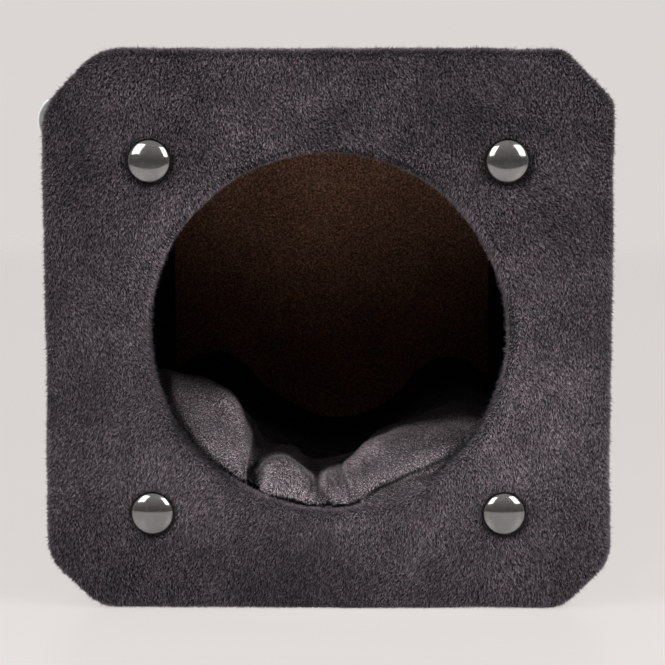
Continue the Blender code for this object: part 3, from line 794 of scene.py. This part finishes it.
def dome_cap(node, finish):
    """A polished dome with its flange, finer than the solid it stands for."""
    low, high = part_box(node)
    centre = (low + high) / 2
    out = -1 if centre.y < 0 else 1
    radius = (high.x - low.x) / 2 + 0.0006
    rise = high.y - low.y
    base = high.y if out < 0 else low.y
    skirt = 0.0007
    thick = 0.0008
    foot = 0.0003
    grip = 0.0098
    pole = 1.54  # just short of a right angle; one flat face closes the middle
    outer = [(radius * math.cos(a), skirt + (rise - skirt) * math.sin(a)) for a in np.linspace(pole, 0, 40)]
    inner = [((radius - thick) * math.cos(a), thick + (rise - 2 * thick) * math.sin(a))
             for a in np.linspace(0, pole, 12)]
    profile = outer + [(radius - foot, 0.0), (grip, 0.0), (grip, thick)] + inner
    spin = np.arange(96) * math.tau / 96
    rings = [(circle(centre.x, centre.z, r, spin), base + out * h) for r, h in profile]
    made = ring_mesh(f"{node}_polished", rings, finish, wrapped=False)
    belongs(made, "tunnel", "polished_nickel", node)
    return np.array(centre)


def panel_relief(points, caps):
    """Soft unevenness of the wrapped plush, pressed in round the caps."""
    amount = 0.0009 * soft_noise(points, 0.045, 3) + 0.0004 * soft_noise(points, 0.016, 5)
    for centre in caps:
        away = np.linalg.norm(points - centre, axis=1)
        amount -= 0.0013 * ease(1 - (away - 0.010) / 0.014)
    return amount


def panel_nap(points, seed):
    """Which way the pile of a panel has been brushed."""
    turn = 0.85 * soft_noise(points, 0.065, seed) + 0.55 * soft_noise(points, 0.024, seed + 1) - 0.5 * math.pi
    return np.stack([np.cos(turn), 0.1 * np.sin(3 * turn), np.sin(turn)], axis=1)


def panel_painted_light(points, caps):
    """How light the nap is painted: patches, the broad ones painted light and shade, with painted shade round
    each cap, strongest underneath, and inside the entrance.
    """
    x, y, z = points.T
    light = np.ones(len(points))
    # nap patches, the broad ones painted light and shade: lighter top and right side, darker bottom and left
    # side
    for patch_x, patch_z, radius, gain in NAP_AND_LIGHT_PATCHES:
        light += gain * np.exp(-((x - patch_x) ** 2 + (z - patch_z) ** 2) / radius**2)
    from_axis = np.hypot(x, z - HOLE_CENTRE)
    # painted shade on the entrance's inner surface, deepest at its lower sides
    entrance_shade_mask = ease((RIM_RADIUS + 0.0045 - from_axis) / 0.003) * ease((HALF_LENGTH - 0.002 - np.abs(y)) / 0.006)
    low = ease((HOLE_CENTRE - 0.02 - z) / 0.05)
    aside = ease((np.abs(x + 0.01) - 0.035) / 0.03)
    light *= 1 - entrance_shade_mask * ((1 - low) * 0.55 + low * (0.12 + 0.80 * aside))
    # painted shade round each cap, strongest underneath
    for centre in caps:
        away = points - centre
        far = np.linalg.norm(away, axis=1)
        below = 0.5 - 0.5 * away[:, 2] / far
        light *= 1 - (0.35 + 0.45 * below) * ease((CAP_SHADE_REACH - far) / 0.0050)
    return light


def cover_panel(end_name, style, per_mm2, seed, caps, looks):
    """Wraps a panel in cloth and grows its pile, with a few stray hairs."""
    place = ("tunnel", "panel_plush")
    cloth, density = panel_cloth(end_name, looks["ground"])
    points, normals = mesh_arrays(cloth)
    points += normals * panel_relief(points, caps)[:, None]
    points[:, 2] = np.maximum(points[:, 2], FLOOR_CLEAR)
    set_points(cloth, points)
    belongs(cloth, *place, f"{end_name}_cover")
    draw = np.random.default_rng(seed)
    roots, facing = scatter(cloth, density, per_mm2, draw)
    free = np.ones(len(roots), bool)
    for centre in caps:
        free &= np.linalg.norm(roots - centre, axis=1) > CAP_BARE
    roots, facing = roots[free], facing[free]
    lean = PANEL_LEAN + 14 * soft_noise(roots, 0.03, seed + 7)
    from_axis = np.hypot(roots[:, 0], roots[:, 2] - HOLE_CENTRE)
    if end_name == "front":
        lean += RIM_LEAN * ease((RIM_RADIUS + 0.0035 - from_axis) / 0.003)
    around = np.arctan2(roots[:, 2] - HOLE_CENTRE, roots[:, 0])
    tufts = [roots, facing, panel_nap(roots, seed), lean, panel_painted_light(roots, caps)]
    finish = looks["panel_pile"]
    grow_over(f"{end_name}_pile", place, tufts, style, finish, draw, around)
    strays = draw.random(len(roots)) < STRAY_SHARE
    tufts[3] = lean * STRAY_LEAN
    hairs = [values[strays] for values in tufts]
    grow_over(f"{end_name}_stray_hairs", place, hairs, STRAY_HAIRS, finish, draw, around[strays])


def cushion_top(x, y):
    """Height of the cushion's top above its base."""
    along = y - CUSHION_LOW.y
    back = ease((along - CREST_HOLDS) / (REAR_STARTS - CREST_HOLDS))
    return smooth_curve(FRONT_CREST, x) * (1 - back) + smooth_curve(REAR_CREST, x) * back


def cushion_section(x):
    """One slice through the cushion from front to rear: rounded ends, a flat base and a soft top."""
    base = CUSHION_LOW.z + CUSHION_GAP
    front = CUSHION_LOW.y + CUSHION_END_GAP
    rear = CUSHION_HIGH.y - CUSHION_END_GAP
    fold = float(np.interp(x, *np.array(FOLD_LENGTH).T))
    turn = np.linspace(-math.pi / 2, math.pi / 2, 26)
    rounds = []
    for end, run in ((front, fold), (rear, -REAR_FOLD)):
        half = cushion_top(x, end + run) / 2
        rounds.append([(x, end + run * (1 - math.cos(a)), base + half * (1 + math.sin(a))) for a in turn])
    top = [(x, y, base + cushion_top(x, y)) for y in np.linspace(front + fold, rear - REAR_FOLD, 62)[1:-1]]
    flat = [(x, y, base) for y in np.linspace(rear - REAR_FOLD, front + fold, 40)[1:-1]]
    return rounds[0] + top + rounds[1][::-1] + flat


def block_push(points):
    """Moves points out of the spaces of the lower corner blocks, by the shortest way."""
    top = BLOCK_HIGH.z + BLOCK_GAP
    into = np.array([
        np.abs(points[:, 0]) - (abs(BLOCK_LOW.x) - BLOCK_GAP),
        np.abs(points[:, 1]) - (abs(BLOCK_HIGH.y) - BLOCK_GAP),
        top - points[:, 2],
    ])
    least = into.min(axis=0)
    hits = (least > 0) & (into == least)
    for axis in (0, 1):
        points[hits[axis], axis] -= np.sign(points[hits[axis], axis]) * least[hits[axis]]
    points[hits[2], 2] = top
    return points


def keep_in_place(points):
    """Holds the cushion between the linings, on the floor board and off the blocks."""
    side = CUSHION_HIGH.x - CUSHION_GAP
    points[:, 0] = np.clip(points[:, 0], -side, side)
    points[:, 1] = np.clip(points[:, 1], -CUSHION_HIGH.y, CUSHION_HIGH.y)
    points[:, 2] = np.maximum(points[:, 2], CUSHION_LOW.z)
    return block_push(points)


def apply_modifiers(made):
    """Bakes an object's modifiers into its mesh."""
    graph = bpy.context.evaluated_depsgraph_get()
    mesh = bpy.data.meshes.new_from_object(made.evaluated_get(graph))
    made.modifiers.clear()
    made.data = mesh


def modify(made, kind, **settings):
    """Bakes one modifier into a mesh."""
    added = made.modifiers.new(kind.lower(), kind)
    for title, value in settings.items():
        setattr(added, title, value)
    apply_modifiers(made)


def inflate(made):
    """Blows the cushion up a little as cloth, with a cap on how far it moves."""
    before, _ = mesh_arrays(made)
    cloth = made.modifiers.new("cloth", "CLOTH")
    cloth.settings.use_pressure = True
    cloth.settings.uniform_pressure_force = 4
    cloth.settings.effector_weights.gravity = 0
    scene = bpy.context.scene
    scene.frame_start, scene.frame_end = 1, CLOTH_FRAMES
    cloth.point_cache.frame_end = CLOTH_FRAMES
    for number in range(1, CLOTH_FRAMES + 1):
        scene.frame_set(number)
    apply_modifiers(made)
    scene.frame_set(1)
    after, _ = mesh_arrays(made)
    moved = after - before
    far = np.linalg.norm(moved, axis=1, keepdims=True)
    set_points(made, before + moved * np.minimum(1, CUSHION_SWELL / np.maximum(far, 1e-9)))


def lean_out(points):
    """Lets the cushion's front lie forward in the entrance, on the rim, and at the right a little over it."""
    x, y, z = points.T
    rim = HOLE_CENTRE - np.sqrt(np.maximum(RIM_RADIUS**2 - x**2, 0))
    right = ease((x - 0.012) / 0.025) * ease((0.104 - x) / 0.020)
    above = ease((z - rim + 0.0020 * right) / 0.0035)
    near = ease((CUSHION_LOW.y + 0.060 - y) / 0.050)
    share = above * near * ease((x + 0.075) / 0.045)
    from_axis = np.hypot(x, z - HOLE_CENTRE)
    lip = share * right * ease((from_axis - RIM_RADIUS + 0.0055) / 0.0045)
    outward = 1 + LIP_DROP * lip / from_axis
    forward = LEAN_OUT * share + LIP_REACH * lip
    return np.stack([x * outward, y - forward, HOLE_CENTRE + (z - HOLE_CENTRE) * outward], axis=1)


def crease(offset, width):
    return np.exp(-((offset / width) ** 2))


def on_front(points):
    """Is 1 at the cushion's front and 0 further in."""
    return ease((-0.135 - points[:, 1]) / 0.025)


def above_seam(points):
    return points[:, 2] - smooth_curve(SEAM, points[:, 0])


def cushion_creases(points):
    """Where the cushion's seam runs, from 0 to 1, and then where each of its creases does."""
    x, y, z = points.T
    bent = x + 0.0028 * soft_noise(points, 0.014, 72)
    off_seam = above_seam(points) + 0.0012 * soft_noise(points, 0.012, 75)
    found = [0.9 * crease(off_seam, SEAM_WIDTH) * (0.15 + 0.85 * ease((x - 0.012) / 0.015))]
    for at_x, at_z, slope, width, strength, end, fade, _ in CREASES:
        line = crease(bent - at_x - slope * (z - at_z), width)
        found.append(strength * line * ease((end - z) / fade))
    return [line * on_front(points) for line in found]


def pleats(points):
    """Small gathers along the middle of the seam, from -1 to 1."""
    x = points[:, 0]
    off_seam = above_seam(points)
    gather = ease(1 - np.abs(x - 0.002) / 0.042) * (0.6 + 0.4 * soft_noise(points, 0.011, 76))
    folds = np.sin(x * math.tau / PLEAT_PITCH + 3.0 * soft_noise(points, 0.013, 71) + off_seam * 40)
    return folds * crease(off_seam - 0.002, 0.010) * gather * on_front(points)


def cushion_details(points):
    """How far the cushion's cloth lies in or out: seam, puckers, creases and soft dents."""
    amount = 0
    depths = [SEAM_DEPTH] + [row[-1] for row in CREASES]
    for line, depth in zip(cushion_creases(points), depths):
        amount -= depth * line
    amount += 0.0030 * crease(above_seam(points) - 0.012, 0.010) * on_front(points)
    amount += 0.0017 * pleats(points)
    amount += 0.0028 * soft_noise(points, 0.030, 73) + 0.0014 * soft_noise(points, 0.012, 74)
    return amount


def cushion_painted_light(points, facing):
    """Painted light and shade on the cushion's nap: painted shade in the creases, against the rim, on top,
    far inside, on faces turned from the front or downward and under the seam at the right, and painted light
    and shade across the pleats, with random unevenness.
    """
    x, y, z = points.T
    from_axis = np.hypot(x, z - HOLE_CENTRE)
    # painted shade against the rim, strongest at the left
    rim = ease((from_axis - RIM_RADIUS + 0.0055) / 0.0040) * (0.10 + 0.90 * ease((-0.045 - x) / 0.020))
    # painted shade in the seam and creases and against the rim
    dark = np.maximum.reduce([*cushion_creases(points), 0.95 * rim])
    # painted shade far inside, behind the front fold
    behind = y - CUSHION_LOW.y - CUSHION_END_GAP - np.interp(x, *np.array(FOLD_LENGTH).T)
    inside = 0.08 + 0.92 * ease((0.023 - behind) / 0.026)
    # painted shade on faces that turn upward
    painted_top_shade = ease((facing[:, 2] - 0.65) / 0.33)
    # painted shade on faces turned from the front or downward, and under the seam at the right
    painted_turn_shade = 0.35 + 0.65 * ease((0.10 - facing[:, 1]) / 0.50)
    painted_turn_shade *= 1 - 0.90 * ease((-0.25 - facing[:, 2]) / 0.40)
    painted_turn_shade *= 1 - 0.26 * ease(-above_seam(points) / 0.006) * ease((x - 0.012) / 0.025)
    # random unevenness, with painted light on the pleats' ridges and painted shade in their folds
    unevenness_and_pleat_light = 1 + 0.20 * soft_noise(points, 0.022, 77) + 0.35 * pleats(points)
    return (1 - 0.94 * dark) * inside * (1 - 0.42 * painted_top_shade) * painted_turn_shade * unevenness_and_pleat_light


def make_cushion(finish):
    """A slack plush pad, folded up at both sides, simulated and seamed."""
    side = CUSHION_HIGH.x - 0.0008
    stations = np.array([cushion_section(x) for x in np.linspace(-side, side, 96)])
    index = np.arange(stations.shape[0] * stations.shape[1]).reshape(stations.shape[:2])
    pad = new_mesh("plush_cushion", stations.reshape(-1, 3), grid_faces(index), finish)
    close_loops(pad, index[0][::-1], index[-1])
    modify(pad, "REMESH", mode="VOXEL", voxel_size=CUSHION_VOXEL)
    set_points(pad, keep_in_place(mesh_arrays(pad)[0]))
    inflate(pad)
    set_points(pad, keep_in_place(mesh_arrays(pad)[0]))
    modify(pad, "SUBSURF", levels=1, render_levels=1)
    points, normals = mesh_arrays(pad)
    points += normals * cushion_details(points)[:, None]
    set_points(pad, lean_out(keep_in_place(points)))
    # the cushion cloth's painted light and shade, read by its ground material
    add_values(pad, "light", cushion_painted_light(*mesh_arrays(pad)))
    pad.data.polygons.foreach_set("use_smooth", np.full(len(pad.data.polygons), True))
    pad.data.materials.clear()
    pad.data.materials.append(finish)
    belongs(pad, "cushion", "cushion_plush", "cushion")
    return pad


def cover_cushion(pad, finish):
    """Grows short pile on the cushion's top and front."""
    points, normals = mesh_arrays(pad)
    quads = quad_corners(pad, len(pad.data.polygons))
    middle = points[quads].mean(axis=1)
    front = ease((-0.05 - middle[:, 1]) / 0.06)
    shown = (middle[:, 2] > CUSHION_LOW.z + 0.004) & (np.abs(middle[:, 0]) < CUSHION_HIGH.x - 0.0015)
    shown &= normals[quads].mean(axis=1)[:, 2] > -0.75
    density = np.where(shown, 0.30 + 0.70 * front, 0)
    draw = np.random.default_rng(41)
    roots, facing = scatter(pad, density, 3.6, draw)
    turn = 0.9 * soft_noise(roots, 0.045, 81) + 0.5 * soft_noise(roots, 0.018, 82) - 0.5 * math.pi
    nap = np.stack([np.cos(turn), 0.4 * np.sin(2 * turn), np.sin(turn)], axis=1)
    lean = 62 + 8 * soft_noise(roots, 0.02, 83)
    tufts = (roots, facing, nap, lean, cushion_painted_light(roots, facing))
    grow_over("cushion_pile", ("cushion", "cushion_plush"), tufts, CUSHION_PILE, finish, draw, roots[:, 0])


def woven_mat(node, out, finish):
    """A mat of twine in plain weave; out is the direction that it faces."""
    low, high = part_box(node)
    facing, wide = (0, 2) if out[0] else (2, 0)
    size = np.array(high) - np.array(low)
    pitch = 0.0052
    cell = 0.0013
    relief = 0.0016
    v, u = np.meshgrid(*(np.linspace(0, size[i], int(size[i] / cell) + 1) for i in (1, wide)), indexing="ij")
    warp = np.sin(u * math.pi / pitch)
    weft = np.sin(v * math.pi / pitch)
    tall_warp = np.abs(warp) * (0.35 + 0.65 * np.abs(weft))
    tall_weft = np.abs(weft) * (0.35 + 0.65 * np.abs(warp))
    edge = np.minimum.reduce([u, size[wide] - u, v, size[1] - v])
    height = np.where(warp * weft > 0, tall_warp, tall_weft) * ease(edge / 0.003)
    under = np.empty((*u.shape, 3))
    under[..., facing] = low[facing] if out[facing] > 0 else high[facing]
    under[..., 1] = low.y + v
    under[..., wide] = low[wide] + u
    top = under.copy()
    top[..., facing] += out[facing] * (size[facing] - relief + relief * height)
    made = sheet_solid(f"{node}_weave", top, under, height, finish)
    belongs(made, "tunnel", "sisal", node)


def sheet_solid(name, top, under, height, finish):
    """A closed sheet: a fine upper grid, and a lower side that has only its rim and one face."""
    rows, cols = top.shape[:2]
    index = np.arange(rows * cols).reshape(rows, cols)
    quads = np.stack([index[:-1, :-1], index[:-1, 1:], index[1:, 1:], index[1:, :-1]], axis=-1)
    rim = np.concatenate([index[0, :-1], index[:-1, -1], index[-1, :0:-1], index[:0:-1, 0]])
    points = np.concatenate([top.reshape(-1, 3), under.reshape(-1, 3)[rim]])
    lower = np.arange(len(rim)) + rows * cols
    walls = np.stack([rim, lower, np.roll(lower, -1), np.roll(rim, -1)], axis=-1)
    made = new_mesh(name, points, np.concatenate([quads.reshape(-1, 4), walls]), finish)
    close_loops(made, lower)
    add_values(made, "height", np.concatenate([height.ravel(), np.zeros(len(rim))]))
    return made


def clear_disc(finish):
    """The clear disc with its thicker rim, finer than the solid it stands for."""
    low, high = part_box("tag_disc")
    pin_low, pin_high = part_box("tag_pin")
    pin = (pin_low + pin_high) / 2
    centre = (low + high) / 2
    radius = (high.x - low.x) / 2
    rim = high.y - low.y
    web = 0.0008
    bevel = 0.0002
    hole = 0.0016
    rim_inset = 0.0014
    spin = np.arange(128) * math.tau / 128
    hole_ring = circle(pin.x, pin.z, hole, spin)
    full = circle(centre.x, centre.z, radius - rim_inset, spin)
    rings = [(hole_ring * share + full * (1 - share), 0.0) for share in (1.0, 0.5, 0.0)]
    edge = ((bevel, 0.0), (0.0, bevel), (0.0, rim - bevel), (bevel, rim), (0.0012, rim), (rim_inset, web))
    rings += [(circle(centre.x, centre.z, radius - inset, spin), depth) for inset, depth in edge]
    rings.append((hole_ring, web))
    placed = [(ring, low.y + depth) for ring, depth in rings]
    made = ring_mesh("tag_disc_clear", placed, finish, wrapped=True)
    belongs(made, "tag", "clear_plastic", "tag_disc")


def staples(finish):
    """Wire staples through the plush margins on the backs of both panels."""
    bm = bmesh.new()
    wire = 0.0006
    crown = 0.010
    back = HALF_LENGTH - PANEL_T - 0.0002
    margin = (MAT_OUT + PANEL_HALF) / 2
    upright = (wire, wire, crown)
    level = (crown, wire, wire)
    spots = [(x, z, upright) for x in (-margin, margin) for z in np.linspace(0.06, 0.28, 6)]
    spots += [(x, z, level) for z in (PANEL_TOP - 0.017, 0.014) for x in np.linspace(-0.11, 0.11, 6)]
    for end in (-1, 1):
        for x, z, size in spots:
            made = bmesh.ops.create_cube(bm, size=1)["verts"]
            bmesh.ops.scale(bm, vec=size, verts=made)
            bmesh.ops.translate(bm, vec=(x, end * back, z), verts=made)
    bmesh.ops.bevel(bm, geom=bm.edges[:], offset=wire * 0.3, segments=2, affect="EDGES")
    mesh = bpy.data.meshes.new("panel_staples")
    bm.to_mesh(mesh)
    bm.free()
    mesh.materials.append(finish)
    belongs(add_object("panel_staples", mesh), "tunnel", "screw_steel")


def repaint(looks):
    """Gives the solids that stay their finishes, by the words that their names end with."""
    endings = {
        "_board": "board", "_wall": "board", "_lining": "lining", "under_cover": "felt", "_block": "wood",
        "_screw": "steel", "_cap_seat": "steel", "_insert": "brass", "tag_pin": "nylon",
    }
    for name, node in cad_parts.items():
        for ending, look in endings.items():
            if name.endswith(ending):
                for slot in node.material_slots:
                    slot.material = looks[look]


make_camera()
studio_world()
soft_box("left_soft_box", (-0.72, -0.80, 0.88), LAMP_AIM, (0.66, 0.70), 9.8)
soft_box("right_soft_box", (0.86, -0.79, 0.85), LAMP_AIM, (0.64, 0.72), 11.8)
table_bounce()
entrance_light()
make_floor()

looks = {
    # Both plush grounds are painted near black and the piles' roots dark: painted shade deep in the pile
    "ground": fabric_material("plush_ground", (0.006, 0.005, 0.006), (0.020, 0.018, 0.020)),
    "panel_pile": pile_material("panel_pile", (0.014, 0.011, 0.013), (0.180, 0.150, 0.168)),
    "cushion_ground": fabric_material("cushion_ground", (0.014, 0.012, 0.013), (0.040, 0.034, 0.037), True),
    "cushion_pile": pile_material("cushion_pile", (0.165, 0.141, 0.151), (0.340, 0.290, 0.311),
                                  spread=(0.34, 2.40), sheen=0.0),
    "lining": fabric_material("lining_cloth", (0.0012, 0.0010, 0.0012), (0.004, 0.003, 0.004)),
    "felt": fabric_material("underside_felt", (0.012, 0.012, 0.013), (0.035, 0.034, 0.036)),
    "board": board_material("fibreboard", (0.255, 0.133, 0.084)),
    "wood": wood_material("softwood"),
    "sisal": sisal_material("woven_sisal"),
    "nickel": metal_material("dark_nickel", (0.245, 0.237, 0.234), 0.12),
    "steel": metal_material("zinc_steel", (0.50, 0.50, 0.51), 0.35),
    "brass": metal_material("brass", (0.60, 0.43, 0.19), 0.35),
    "nylon": nylon_material("white_nylon", (0.70, 0.70, 0.70), (0.82, 0.82, 0.82)),
    "clear": disc_material("cloudy_plastic"),
}
repaint(looks)

caps = [dome_cap(name, looks["nickel"]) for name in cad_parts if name.endswith("dome_cap")]
cover_panel("front", PANEL_PILE, 3.0, 11, caps, looks)
clear_disc(looks["clear"])
cushion = make_cushion(looks["cushion_ground"])
cover_cushion(cushion, looks["cushion_pile"])
cover_panel("rear", REAR_PILE, 0.9, 23, caps, looks)
for mat_name, out in (("left_mat", (-1, 0, 0)), ("right_mat", (1, 0, 0)), ("top_mat", (0, 0, 1))):
    woven_mat(mat_name, out, looks["sisal"])
staples(looks["steel"])
